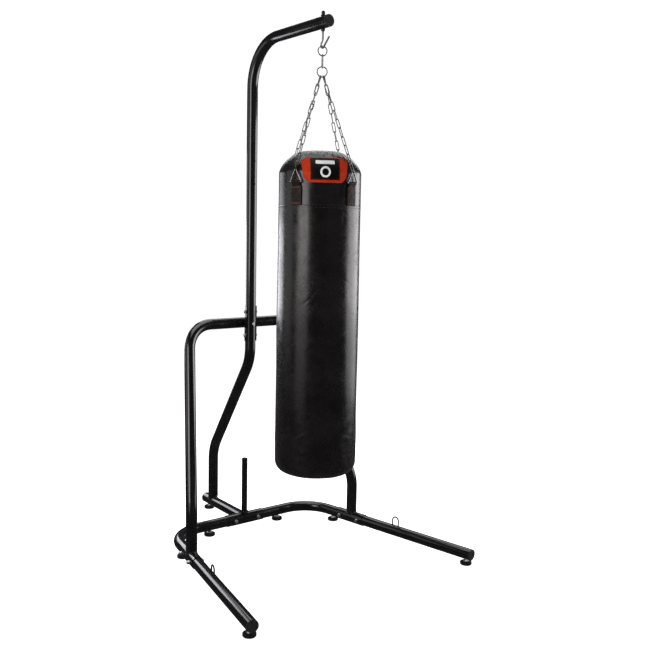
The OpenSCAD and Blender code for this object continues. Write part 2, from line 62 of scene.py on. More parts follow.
# ------------------------------------------------------------------ places taken from the frame
skin_lo, skin_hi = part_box("bag_skin")
HOOK_Y = (skin_lo.y + skin_hi.y) / 2
BAG_R = (skin_hi.x - skin_lo.x) / 2
BAG_LO, BAG_HI = skin_lo.z, skin_hi.z
SHOULDER, HEEL = 0.080, 0.038
SEAM_Z = 1.4035
STRAPS = [-70, 10, 110, 190]
BADGE_AT = -30
peg_lo, peg_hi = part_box("weight_peg")
CY = (peg_lo.y + peg_hi.y) / 2
sleeve_lo, sleeve_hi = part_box("support_frame")
LEG = Vector((0.402, CY - 0.258, 0.0435))
ARM_U = Vector((0.511 - 0.402, -(0.852 - 0.258), 0)).normalized()
ARM_N = Vector((-ARM_U.y, ARM_U.x, 0))


# ------------------------------------------------------------------ mesh helpers
def new_mesh(name, verts, faces, mat, smooth=True):
    me = bpy.data.meshes.new(name)
    me.from_pydata([tuple(v) for v in verts], [], [tuple(f) for f in faces])
    me.validate()
    if smooth:
        me.polygons.foreach_set("use_smooth", [True] * len(me.polygons))
    me.update()
    ob = bpy.data.objects.new(name, me)
    scene.collection.objects.link(ob)
    me.materials.append(mat)
    return ob


def grid_faces(rows, cols, wrap_cols=False, wrap_rows=False, start=0, flip=False):
    out = []
    rr = rows if wrap_rows else rows - 1
    cc = cols if wrap_cols else cols - 1
    for i in range(rr):
        i2 = (i + 1) % rows
        for j in range(cc):
            j2 = (j + 1) % cols
            f = (start + i * cols + j, start + i * cols + j2, start + i2 * cols + j2, start + i2 * cols + j)
            out.append(f[::-1] if flip else f)
    return out


def tube(points, radii, seg=10, closed=False, squash=1.0, up=None):
    """verts and faces of a tube along points; radii is one number or one per point"""
    p = np.array([tuple(q) for q in points], float)
    n = len(p)
    r = np.full(n, radii) if np.isscalar(radii) else np.array(radii, float)
    if closed:
        t = np.roll(p, -1, 0) - np.roll(p, 1, 0)
    else:
        t = np.gradient(p, axis=0)
    t /= np.linalg.norm(t, axis=1)[:, None]
    ref = np.array(up if up is not None else (0.13, 0.27, 0.95))
    a = ref - (ref @ t[0]) * t[0]
    a /= np.linalg.norm(a)
    frames = [a]
    for k in range(1, n):
        a = frames[-1] - (frames[-1] @ t[k]) * t[k]
        frames.append(a / np.linalg.norm(a))
    a = np.array(frames)
    if closed:  # spread the leftover twist over the loop
        b = np.cross(t, a)
        last = a[-1] - (a[-1] @ t[0]) * t[0]
        last /= np.linalg.norm(last)
        tw = math.atan2(last @ b[0], last @ a[0])
        ang = -tw * np.arange(n) / n
        a = a * np.cos(ang)[:, None] + b * np.sin(ang)[:, None]
    b = np.cross(t, a)
    w = np.arange(seg) * 2 * math.pi / seg
    v = (p[:, None, :] + r[:, None, None] * (np.cos(w)[None, :, None] * a[:, None, :] + squash * np.sin(w)[None, :, None] * b[:, None, :])).reshape(-1, 3)
    f = grid_faces(n, seg, wrap_cols=True, wrap_rows=closed)
    v = list(v)
    if not closed:
        v.append(p[0]); v.append(p[-1])
        c0, c1 = n * seg, n * seg + 1
        for j in range(seg):
            f.append((c0, (j + 1) % seg, j))
            f.append((c1, (n - 1) * seg + j, (n - 1) * seg + (j + 1) % seg))
    return v, f


def join_parts(parts):
    v, f = [], []
    for pv, pf in parts:
        s = len(v)
        v.extend(pv)
        f.extend(tuple(i + s for i in q) for q in pf)
    return v, f


def stitch_mesh(lines, pitch=0.0052, share=0.74, rad=0.00055, lift=0.35):
    """short thread capsules along each (points, normals) line"""
    ring = [(-1.0, 0.0), (-0.92, 0.55), (-0.6, 0.92), (0, 1.0), (0.6, 0.92), (0.92, 0.55), (1.0, 0.0)]
    seg = 6
    parts_v, parts_f = [], []
    for pts, nrm in lines:
        p = np.array([tuple(q) for q in pts], float)
        m = np.array([tuple(q) for q in nrm], float)
        d = np.linalg.norm(np.diff(p, axis=0), axis=1)
        s = np.concatenate([[0], np.cumsum(d)])
        count = max(1, int(round(s[-1] / pitch)))
        step = s[-1] / count
        for k in range(count):
            c = (k + 0.5) * step
            q = np.array([np.interp(c, s, p[:, i]) for i in range(3)])
            q0 = np.array([np.interp(c - step * 0.4, s, p[:, i]) for i in range(3)])
            q1 = np.array([np.interp(c + step * 0.4, s, p[:, i]) for i in range(3)])
            nn = np.array([np.interp(c, s, m[:, i]) for i in range(3)])
            t = q1 - q0
            t /= np.linalg.norm(t)
            nn -= (nn @ t) * t
            nn /= np.linalg.norm(nn)
            bb = np.cross(t, nn)
            half = step * share / 2
            base = len(parts_v)
            for x, rr in ring[1:-1]:
                centre = q + t * half * x + nn * rad * (lift + 0.55 * (1 - x * x) - 0.35 * abs(x))
                for j in range(seg):
                    w = j * 2 * math.pi / seg
                    parts_v.append(centre + rad * rr * (math.cos(w) * nn + math.sin(w) * bb))
            parts_v.append(q - t * half + nn * rad * (lift - 0.45))
            parts_v.append(q + t * half + nn * rad * (lift - 0.45))
            rows = len(ring) - 2
            parts_f.extend(grid_faces(rows, seg, wrap_cols=True, start=base))
            a, b = base + rows * seg, base + rows * seg + 1
            for j in range(seg):
                parts_f.append((a, base + (j + 1) % seg, base + j))
                parts_f.append((b, base + (rows - 1) * seg + j, base + (rows - 1) * seg + (j + 1) % seg))
    return parts_v, parts_f


def fix_normals(ob):
    bpy.context.view_layer.objects.active = ob
    for o in bpy.context.selected_objects:
        o.select_set(False)
    ob.select_set(True)
    bpy.ops.object.mode_set(mode="EDIT")
    bpy.ops.mesh.select_all(action="SELECT")
    bpy.ops.mesh.normals_make_consistent(inside=False)
    bpy.ops.object.mode_set(mode="OBJECT")
    ob.select_set(False)
    return ob


def smoothstep(a, b, x):
    t = np.clip((x - a) / (b - a), 0, 1)
    return t * t * (3 - 2 * t)


# ------------------------------------------------------------------ materials
class Mat:
    """a procedural material: the principled shader plus a few noise helpers in object coordinates"""

    def __init__(self, name, rough=0.5, metal=0.0, **sockets):
        self.m = bpy.data.materials.new(name)
        self.m.use_nodes = True
        self.t = self.m.node_tree
        self.b = next(n for n in self.t.nodes if n.type == "BSDF_PRINCIPLED")
        self.b.inputs["Roughness"].default_value = rough
        self.b.inputs["Metallic"].default_value = metal
        for k, v in sockets.items():
            self.b.inputs[k.replace("_", " ")].default_value = v
        self.co = self.t.nodes.new("ShaderNodeTexCoord")
        self.last_bump = None

    def stretch(self, sx, sy, sz):
        mp = self.t.nodes.new("ShaderNodeMapping")
        mp.inputs["Scale"].default_value = (sx, sy, sz)
        self.t.links.new(self.co.outputs["Object"], mp.inputs["Vector"])
        return mp.outputs["Vector"]

    def noise(self, scale, detail=3, rough=0.55, vec=None, distort=0.0):
        n = self.t.nodes.new("ShaderNodeTexNoise")
        n.inputs["Scale"].default_value = scale
        n.inputs["Detail"].default_value = detail
        n.inputs["Roughness"].default_value = rough
        n.inputs["Distortion"].default_value = distort
        self.t.links.new(vec or self.co.outputs["Object"], n.inputs["Vector"])
        return n.outputs["Fac"]

    def cells(self, scale, feature="F1", vec=None, rand=1.0):
        n = self.t.nodes.new("ShaderNodeTexVoronoi")
        n.feature = feature
        n.inputs["Scale"].default_value = scale
        n.inputs["Randomness"].default_value = rand
        self.t.links.new(vec or self.co.outputs["Object"], n.inputs["Vector"])
        return n.outputs["Distance"]

    def ramp(self, fac, stops):
        r = self.t.nodes.new("ShaderNodeValToRGB")
        els = r.color_ramp.elements
        while len(els) < len(stops):
            els.new(0.5)
        for e, (pos, col) in zip(els, stops):
            e.position = pos
            e.color = (*col, 1) if len(col) == 3 else col
        self.t.links.new(fac, r.inputs["Fac"])
        return r.outputs["Color"]

    def remap(self, fac, a, b, lo=0.3, hi=0.7):
        m = self.t.nodes.new("ShaderNodeMapRange")
        m.inputs["From Min"].default_value = lo
        m.inputs["From Max"].default_value = hi
        m.inputs["To Min"].default_value = a
        m.inputs["To Max"].default_value = b
        self.t.links.new(fac, m.inputs["Value"])
        return m.outputs["Result"]

    def math(self, op, a, b):
        m = self.t.nodes.new("ShaderNodeMath")
        m.operation = op
        for i, x in enumerate((a, b)):
            if isinstance(x, (int, float)):
                m.inputs[i].default_value = x
            else:
                self.t.links.new(x, m.inputs[i])
        return m.outputs[0]

    def mix(self, fac, a, b):
        m = self.t.nodes.new("ShaderNodeMix")
        m.data_type = "RGBA"
        self.t.links.new(fac, m.inputs[0])
        for i, x in ((6, a), (7, b)):
            if isinstance(x, tuple):
                m.inputs[i].default_value = (*x, 1)
            else:
                self.t.links.new(x, m.inputs[i])
        return m.outputs[2]

    def set(self, socket, out):
        self.t.links.new(out, self.b.inputs[socket])

    def bump(self, height, strength, distance):
        bp = self.t.nodes.new("ShaderNodeBump")
        bp.inputs["Strength"].default_value = strength
        bp.inputs["Distance"].default_value = distance
        self.t.links.new(height, bp.inputs["Height"])
        if self.last_bump is not None:
            self.t.links.new(self.last_bump, bp.inputs["Normal"])
        self.last_bump = bp.outputs["Normal"]
        self.t.links.new(self.last_bump, self.b.inputs["Normal"])


def gloss_paint():
    k = Mat("black_gloss_paint", 0.2, Specular_IOR_Level=0.5, Coat_Weight=0.35, Coat_Roughness=0.06)
    big = k.noise(9, 4, 0.6)
    fine = k.noise(420, 2, 0.5)
    k.set("Base Color", k.ramp(big, [(0.3, (0.0030, 0.0030, 0.0034)), (0.7, (0.0060, 0.0059, 0.0064))]))
    dust = k.noise(160, 5, 0.7)
    k.set("Roughness", k.math("ADD", k.remap(big, 0.13, 0.24), k.remap(dust, -0.02, 0.05, 0.45, 0.75)))
    k.bump(fine, 0.05, 0.0003)
    k.bump(k.noise(60, 2), 0.06, 0.0015)
    return k.m


def metal(name, lo, hi, r0, r1, scale=260, bump=0.12):
    k = Mat(name, 0.3, 1.0)
    a = k.noise(scale, 4, 0.6)
    b = k.noise(38, 3)
    k.set("Base Color", k.ramp(a, [(0.25, lo), (0.75, hi)]))
    k.set("Roughness", k.remap(b, r0, r1))
    k.bump(a, bump, 0.0002)
    k.bump(k.noise(1500, 2), bump * 0.6, 0.0001)
    return k.m


def rubber():
    k = Mat("black_rubber", 0.7, Specular_IOR_Level=0.2)
    a = k.noise(55, 4)
    k.set("Base Color", k.ramp(a, [(0.3, (0.0045, 0.0045, 0.0045)), (0.75, (0.0105, 0.0100, 0.0098))]))
    k.set("Roughness", k.remap(k.noise(240, 4), 0.55, 0.85))
    k.bump(k.noise(1100, 3), 0.3, 0.0003)
    return k.m


def plastic():
    k = Mat("black_moulded_plastic", 0.42, Specular_IOR_Level=0.45)
    k.set("Base Color", k.ramp(k.noise(30, 3), [(0.3, (0.009, 0.009, 0.010)), (0.7, (0.016, 0.016, 0.017))]))
    k.set("Roughness", k.remap(k.noise(90, 3), 0.34, 0.5))
    k.bump(k.cells(1400), 0.18, 0.00015)
    return k.m


def bag_leather():
    k = Mat("bag_leather", 0.27, Specular_IOR_Level=0.5, Sheen_Weight=0.03, Sheen_Roughness=0.4)
    blotch = k.noise(11, 5, 0.6, distort=0.4)
    mid = k.noise(46, 4, 0.6)
    k.set("Base Color", k.ramp(blotch, [(0.28, (0.0032, 0.0025, 0.0028)), (0.72, (0.0066, 0.0055, 0.0060))]))
    rough = k.math("ADD", k.remap(blotch, 0.20, 0.31), k.remap(mid, -0.045, 0.055))
    worn = k.math("MULTIPLY", k.remap(k.noise(5.5, 2, 0.5), 0.0, 1.0, 0.52, 0.62), k.remap(k.noise(120, 5, 0.75), 0.0, 0.20, 0.50, 0.60))
    k.set("Roughness", k.math("ADD", rough, worn))
    grain = k.cells(620)
    pores = k.noise(1500, 2)
    k.bump(grain, 0.16, 0.00035)
    k.bump(pores, 0.08, 0.0002)
    k.bump(k.noise(95, 3), 0.07, 0.0016)
    return k.m


def strap_leather():
    k = Mat("strap_leather", 0.5, Specular_IOR_Level=0.16)
    n = k.noise(60, 5, 0.65)
    k.set("Base Color", k.ramp(n, [(0.3, (0.0055, 0.0026, 0.0023)), (0.7, (0.0125, 0.0058, 0.0048))]))
    k.set("Roughness", k.remap(k.noise(140, 4), 0.4, 0.62))
    k.bump(k.cells(900), 0.25, 0.0003)
    k.bump(k.noise(2200, 2), 0.12, 0.0001)
    return k.m


def thread(name, col):
    k = Mat(name, 0.65, Specular_IOR_Level=0.3, Sheen_Weight=0.25)
    dark = tuple(c * 0.6 for c in col)
    k.set("Base Color", k.ramp(k.noise(700, 2), [(0.3, dark), (0.7, col)]))
    k.set("Roughness", k.remap(k.noise(500, 2), 0.55, 0.8))
    k.bump(k.noise(3500, 2), 0.5, 0.0003)
    return k.m


def coated(name, lo, hi, r0, r1, grain=900, strength=0.14, shine=0.5):
    k = Mat(name, 0.4, Specular_IOR_Level=shine)
    k.set("Base Color", k.ramp(k.noise(45, 4, 0.6), [(0.3, lo), (0.7, hi)]))
    k.set("Roughness", k.remap(k.noise(70, 4), r0, r1))
    k.bump(k.cells(grain), strength, 0.00025)
    k.bump(k.noise(180, 3), 0.06, 0.0008)
    return k.m


PAINT = gloss_paint()
ZINC = metal("zinc_plating", (0.70, 0.71, 0.72), (0.90, 0.90, 0.89), 0.34, 0.52)
STEEL = metal("plated_hook_steel", (0.24, 0.24, 0.25), (0.42, 0.42, 0.42), 0.18, 0.30, 320, 0.08)
CHAIN = metal("chain_zinc", (0.20, 0.20, 0.21), (0.38, 0.38, 0.38), 0.20, 0.34, 300, 0.10)
BLACK_NUT = metal("black_oxide_steel", (0.018, 0.018, 0.019), (0.045, 0.045, 0.046), 0.38, 0.52, 320, 0.08)
RUBBER = rubber()
PLASTIC = plastic()
LEATHER = bag_leather()
STRAP = strap_leather()
THREAD_DARK = thread("thread_black", (0.022, 0.020, 0.021))
THREAD_BROWN = thread("thread_red_brown", (0.24, 0.065, 0.038))
THREAD_RED = thread("thread_red", (0.42, 0.030, 0.010))
RED = coated("badge_red_coat", (0.37, 0.020, 0.0015), (0.46, 0.031, 0.003), 0.50, 0.64, shine=0.10)
BLACK = coated("badge_black_coat", (0.0015, 0.0015, 0.0018), (0.0035, 0.0035, 0.0038), 0.45, 0.60, shine=0.10)
WHITE = coated("badge_white_ink", (0.66, 0.66, 0.66), (0.80, 0.80, 0.80), 0.35, 0.5, 1400, 0.1)

LOOP_PAINT = coated("black_satin_paint", (0.0028, 0.0028, 0.0030), (0.0055, 0.0055, 0.0060), 0.46, 0.62, shine=0.16)

# ------------------------------------------------------------------ CAD nodes that stay, with better materials
NODE_MATERIAL = {
    PAINT: ["base_tee", "corner_tube_left", "corner_tube_right", "front_arm_left", "front_arm_right", "support_frame",
            "lower_mast", "upper_mast", "mast_bracket"],
    LOOP_PAINT: ["weight_peg", "arm_loop_left", "arm_loop_right"],
    PLASTIC: ["cap_front_left", "cap_front_right", "cap_rear", "cap_top_arm"],
    ZINC: ["base_bolts", "base_nuts", "base_washers", "bracket_cross_bolts", "bracket_through_bolt", "bracket_nuts"] + [n for n in nodes if n.startswith("foot_stud_")],
    RUBBER: [n for n in nodes if n.startswith("foot_pad_")],
    BLACK_NUT: ["hook_nuts", "hook_washers"],
    STEEL: ["hook", "upper_ring", "lower_ring", "joining_link"],
    CHAIN: [n for n in nodes if n.startswith("chain_")] + ["triangle_rings"],
}
for mat, names in NODE_MATERIAL.items():
    for n in names:
        o = nodes[n]
        if not o.material_slots:
            o.data.materials.append(mat)
        for s in o.material_slots:
            s.material = mat


# ------------------------------------------------------------------ the bag
def side_radius(z):
    """outline radius in metres and normal (r, z) at height z, on the side and the shoulder"""
    z = np.asarray(z, float)
    y = np.clip((z - (BAG_HI - SHOULDER)) / SHOULDER, 0, 1)
    x = np.power(np.clip(1 - np.power(y, 1.5), 0, 1), 1 / 1.5)
    r = BAG_R - SHOULDER + SHOULDER * x
    nr, nz = np.sqrt(x), np.sqrt(y)
    q = np.sqrt(nr * nr + nz * nz)
    fade = 1 - smoothstep(1.50, 1.58, z)
    r = r + fade * MM * (np.clip((1.0 - z) / 0.45, -1.0, 1.0) + 1.2 * np.exp(-((z - 0.98) / 0.17) ** 2))
    return r, nr / q, nz / q


def away(deg):
    a = np.radians(deg)
    return np.stack([np.sin(a), -np.cos(a), np.zeros_like(a)], -1)


# long soft creases: angle, height, tilt from horizontal, half length, half width, depth (deg, m, deg, m, m, mm)
CREASES = [
    (-44, 1.085, 40, 0.060, 0.0045, 0.55), (-34, 1.015, 44, 0.050, 0.004, 0.40), (-40, 0.905, 38, 0.055, 0.005, 0.55),
    (-18, 0.935, 36, 0.060, 0.005, 0.45), (12, 1.12, -40, 0.05, 0.004, 0.4), (20, 0.84, 42, 0.06, 0.005, 0.5),
    (-62, 0.56, 24, 0.07, 0.006, 0.9), (-30, 0.535, -14, 0.09, 0.007, 1.0), (-8, 0.575, 16, 0.07, 0.006, 0.9),
    (24, 0.545, -20, 0.08, 0.007, 0.9), (-46, 0.490, 10, 0.08, 0.006, 0.8), (2, 0.485, -12, 0.08, 0.006, 0.8),
    (70, 0.55, 18, 0.08, 0.007, 0.9), (110, 0.50, -15, 0.09, 0.007, 0.9), (150, 0.57, 20, 0.08, 0.007, 0.9),
    (-170, 0.52, -18, 0.09, 0.007, 0.9), (-130, 0.56, 15, 0.09, 0.007, 0.9), (-100, 0.49, -12, 0.08, 0.007, 0.9),
    (95, 1.02, 40, 0.06, 0.005, 0.5), (140, 0.93, -38, 0.06, 0.005, 0.5), (-150, 1.05, 36, 0.06, 0.005, 0.5),
    (-112, 0.90, -40, 0.06, 0.005, 0.5), (60, 0.88, -36, 0.05, 0.005, 0.45),
]
SEAM_BACK = 180.0


def bag_lift(deg, z, r):
    """how far in mm the leather stands off its plain outline, at angle deg and height z"""
    deg, z, r = np.broadcast_arrays(np.asarray(deg, float), np.asarray(z, float), np.asarray(r, float))
    shape = deg.shape
    deg, z, r = deg.ravel(), z.ravel(), r.ravel()
    a = np.radians(deg)
    x, y = r * np.sin(a), -r * np.cos(a)
    out = np.zeros(len(z))
    low = 1 - smoothstep(0.46, 0.72, z)
    top = 1 - 0.75 * smoothstep(1.35, 1.41, z)
    end = smoothstep(0.40, 0.44, z)
    for i in range(len(z)):
        px, py, pz = x[i], y[i], z[i]
        n1 = noise.noise(Vector((px * 5.2 + 3.1, py * 5.2, pz * 4.0)))
        n2 = noise.noise(Vector((px * 13.0, py * 13.0 + 7.7, pz * 7.0)))
        n3 = noise.noise(Vector((px * 26.0, py * 26.0, pz * 30.0 + 2.3)))
        n4 = noise.noise(Vector((px * 24.0 + 9.0, py * 24.0, pz * 2.4)))
        out[i] = top[i] * (1.3 * n1 + 0.75 * n2 + 0.42 * n4) + low[i] * end[i] * 1.15 * n3 + top[i] * 0.16 * n3
    out += 0.9 * np.exp(-((z - 0.50) / 0.07) ** 2)
    for ca, cz, tilt, hl, hw, depth in CREASES:
        depth *= 0.45 if cz < 0.62 else 0.7
        u = np.radians((deg - ca + 180) % 360 - 180) * BAG_R
        v = z - cz
        t = math.radians(tilt)
        s, c = u * math.cos(t) + v * math.sin(t), -u * math.sin(t) + v * math.cos(t)
        near = np.abs(s) < hl * 1.3
        bend_ = 0.006 * np.sin(s / hl * 1.7)
        out -= near * depth * np.exp(-((c - bend_) / hw) ** 2) * np.clip(1 - (s / hl) ** 2, 0, 1)
        out += near * 0.35 * depth * np.exp(-((c - bend_ - 2.2 * hw) / (1.6 * hw)) ** 2) * np.clip(1 - (s / hl) ** 2, 0, 1)
    # the round seam below the hanging straps, and the upright one at the back
    d = z - SEAM_Z
    out += -0.38 * np.exp(-(d / 0.0016) ** 2) + 0.12 * np.exp(-((np.abs(d) - 0.0058) / 0.0042) ** 2)
    u = np.abs(np.radians((deg - SEAM_BACK + 180) % 360 - 180) * r)
    on = smoothstep(0.405, 0.43, z)
    out += on * (-1.0 * np.exp(-(u / 0.0016) ** 2) + 0.40 * np.exp(-((u - 0.0058) / 0.0042) ** 2))
    # small puckers round the mouth of the bag, and a slight pull at each strap
    mouth = smoothstep(1.565, 1.60, z) * (1 - smoothstep(0.074, 0.071, r))
    out += mouth * 0.75 * np.sin(a * 34 + 1.3 * np.sin(a * 5))
    for s in STRAPS:
        du = np.radians((deg - s + 180) % 360 - 180) * BAG_R
        out -= 0.5 * np.exp(-(du / 0.016) ** 2) * np.exp(-((z - 1.448) / 0.05) ** 2)
        for side in (-1, 1):
            w = du - side * (0.030 + 0.10 * (1.40 - z))
            out -= 0.35 * np.exp(-(w / 0.007) ** 2) * smoothstep(1.25, 1.37, z) * (1 - smoothstep(1.385, 1.40, z))
    return out.reshape(shape)


def on_bag(deg, z, off_mm):
    """points on the finished leather at angle deg and height z, off_mm proud, and their normals"""
    deg, z = np.broadcast_arrays(np.asarray(deg, float), np.asarray(z, float))
    r, nr, nz = side_radius(z)
    lift = bag_lift(deg, z, r) + off_mm
    d = away(deg)
    rr = r + lift * MM * nr
    p = d * rr[..., None]
    p[..., 1] += HOOK_Y
    p[..., 2] = z + lift * MM * nz
    n = d * nr[..., None]
    n[..., 2] = nz
    return p, n


def build_bag():
    # outline from the middle of the underside to the middle of the top
    prof = [(0.0, BAG_LO + 0.0022), (0.03, BAG_LO + 0.0022), (0.07, BAG_LO + 0.0022), (0.1, BAG_LO + 0.0022), (0.1112, BAG_LO + 0.0022),
            (0.1124, BAG_LO + 0.0006)]
    kind = [0] * len(prof)
    nrm = [(0, -1)] * len(prof)
    for k in range(1, 31):  # heel
        a = math.radians(90 - 3 * k)
        prof.append((BAG_R - HEEL + HEEL * math.cos(a), BAG_LO + HEEL - HEEL * math.sin(a)))
        nrm.append((math.cos(a), -math.sin(a)))
        kind.append(1)
    zs = list(np.arange(BAG_LO + HEEL + 0.003, SEAM_Z - 0.0125, 0.0030))
    zs += list(np.arange(SEAM_Z - 0.0120, SEAM_Z + 0.0125, 0.0008))
    zs += list(np.arange(SEAM_Z + 0.0140, BAG_HI - SHOULDER, 0.0030))
    for k in range(1, 46):  # shoulder
        t = math.radians(2 * k)
        zs.append(BAG_HI - SHOULDER + SHOULDER * math.sin(t) ** (4 / 3))
    for z in zs:
        r, nr, nz = side_radius(z)
        if z >= BAG_HI - 1e-6:
            r, nr, nz = BAG_R - SHOULDER, 0.0, 1.0
        prof.append((float(r), z))
        nrm.append((float(nr), float(nz)))
        kind.append(1)
    # the seam allowance of the heel starts with the side's small taper
    side_r, _, _ = side_radius(BAG_LO + HEEL + 0.003)
    for i in range(len(prof)):
        if prof[i][1] < BAG_LO + HEEL + 0.002 and kind[i] == 1:
            q = (prof[i][1] - BAG_LO) / HEEL
            prof[i] = (prof[i][0] + (float(side_r) - BAG_R) * q, prof[i][1])
    for p in ((0.0718, BAG_HI - 0.0004), (0.0714, BAG_HI - 0.0022), (0.05, BAG_HI - 0.0022), (0.02, BAG_HI - 0.0022), (0.0, BAG_HI - 0.0022)):
        prof.append(p); nrm.append((0, 1)); kind.append(0)
    base = list(np.arange(0, 360, 0.82))
    fine = list(np.arange(SEAM_BACK - 4.6, SEAM_BACK + 4.61, 0.29))
    degs = np.array(sorted([a for a in base if abs(a - SEAM_BACK) > 4.9] + fine))
    rows = prof[1:-1]
    P = np.array(rows)
    N = np.array(nrm[1:-1])
    K = np.array(kind[1:-1])
    D, Z = np.meshgrid(degs, P[:, 1])
    R = np.repeat(P[:, 0][:, None], len(degs), 1)
    lift = bag_lift(D, Z, R) * K[:, None]
    d = away(D)
    rr = R + lift * MM * N[:, 0][:, None]
    v = d * rr[..., None]
    v[..., 1] += HOOK_Y
    v[..., 2] = Z + lift * MM * N[:, 1][:, None]
    verts = list(v.reshape(-1, 3))
    faces = grid_faces(len(rows), len(degs), wrap_cols=True)
    lo_i, hi_i = len(verts), len(verts) + 1
    verts.append(np.array([0, HOOK_Y, prof[0][1]]))
    verts.append(np.array([0, HOOK_Y, prof[-1][1]]))
    m = len(degs)
    last = (len(rows) - 1) * m
    for j in range(m):
        faces.append((lo_i, (j + 1) % m, j))
        faces.append((hi_i, last + j, last + (j + 1) % m))
    return new_mesh("bag_leather_shell", verts, faces, LEATHER)


def settle(ob):
    """the filling's weight draws the lowest part of the bag down a little"""
    for v in ob.data.vertices:
        v.co.z -= 0.0058 * (1 - float(smoothstep(0.395, 0.52, v.co.z)))
    return ob


bag = settle(fix_normals(build_bag()))
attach(bag, "bag")
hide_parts("bag_skin", "bag_filling")


def disc(name, r, z_in, z_out, crown, mat):
    """thin round panel, crowned outward, with a rolled edge; z_in is the side against the bag"""
    s = 1 if z_out > z_in else -1
    prof = [(r * f, z_out + s * crown * (1 - f * f)) for f in (0.12, 0.25, 0.4, 0.55, 0.7, 0.8, 0.88, 0.94, 0.975)]
    prof += [(r * 0.993, z_out - s * 0.0004), (r, z_out - s * 0.0011), (r * 0.998, z_in), (r * 0.9, z_in), (r * 0.5, z_in)]
    seg = 144
    verts = []
    for k, (pr, pz) in enumerate(prof):
        for j in range(seg):
            a = j * 2 * math.pi / seg
            w = 0.00035 * noise.noise(Vector((pr * 30 * math.cos(a), pr * 30 * math.sin(a), 5 + z_out))) * s if k < 9 else 0
            verts.append((pr * math.cos(a), HOOK_Y + pr * math.sin(a), pz + w))
    faces = grid_faces(len(prof), seg, wrap_cols=True)
    c0, c1 = len(verts), len(verts) + 1
    verts += [(0, HOOK_Y, z_out + s * crown), (0, HOOK_Y, z_in)]
    n = (len(prof) - 1) * seg
    for j in range(seg):
        faces.append((c0, (j + 1) % seg, j))
        faces.append((c1, n + j, n + (j + 1) % seg))
    return fix_normals(new_mesh(name, verts, faces, mat))


def ring_line(r, z, n=(0, 0, 1), count=240):
    a = np.linspace(0, 2 * math.pi, count)
    return [(r * math.cos(t), HOOK_Y + r * math.sin(t), z) for t in a], [n] * count


lid = disc("bag_top_panel", 0.0708, BAG_HI - 0.0021, BAG_HI + 0.0004, 0.0030, LEATHER)
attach(lid, "bag"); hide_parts("top_panel")
foot = settle(disc("bag_base_panel", 0.1108, BAG_LO + 0.0021, BAG_LO - 0.0002, 0.0030, LEATHER))
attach(foot, "bag"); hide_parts("base_panel")

piping = []
for r, z in ((0.0722, BAG_HI - 0.0002), (0.1118, BAG_LO + 0.0006)):
    pts = [(r * math.cos(t), HOOK_Y + r * math.sin(t), z) for t in np.linspace(0, 2 * math.pi, 200, endpoint=False)]
    piping.append(tube(pts, [0.0019 * (1 + 0.04 * math.sin(7 * i)) for i in range(200)], 10, closed=True))
pv, pf = join_parts(piping)
pipe = settle(fix_normals(new_mesh("bag_piping", pv, pf, LEATHER)))
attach(pipe, "bag")

lines = []
for dz in (-0.0047, 0.0047):
    degs = np.linspace(-180, 180, 721)
    lines.append(on_bag(degs, SEAM_Z + dz, 0.05))
for du in (-0.0047, 0.0047):
    zz = np.concatenate([np.linspace(0.436, SEAM_Z - 0.008, 200)])
    lines.append(on_bag(SEAM_BACK + math.degrees(du / BAG_R), zz, 0.05))
    zz = np.linspace(SEAM_Z + 0.008, 1.53, 40)
    lines.append(on_bag(SEAM_BACK + math.degrees(du / BAG_R), zz, 0.05))
lines.append(ring_line(0.0660, BAG_HI + 0.0011))
lines.append(ring_line(0.1055, BAG_LO - 0.0007, (0, 0, -1), 340))
sv, sf_ = stitch_mesh(lines, pitch=0.0055, rad=0.00058)
seams = settle(fix_normals(new_mesh("bag_seam_stitches", sv, sf_, THREAD_DARK)))
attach(seams, "bag")


# ------------------------------------------------------------------ badge: three sewn layers on the shoulder
def badge_angle(u, z):
    r, _, _ = side_radius(z)
    return BADGE_AT + np.degrees(np.arcsin(np.clip(u / (r + 0.0015), -1, 1)))


def spaced(lo, hi, n, edge):
    """samples from lo to hi, close together near both ends"""
    e = np.array([0, 0.10, 0.25, 0.45, 0.7, 1.0]) * edge
    mid = np.linspace(lo + edge, hi - edge, n)[1:-1]
    return np.concatenate([lo + e, mid, hi - e[::-1]])


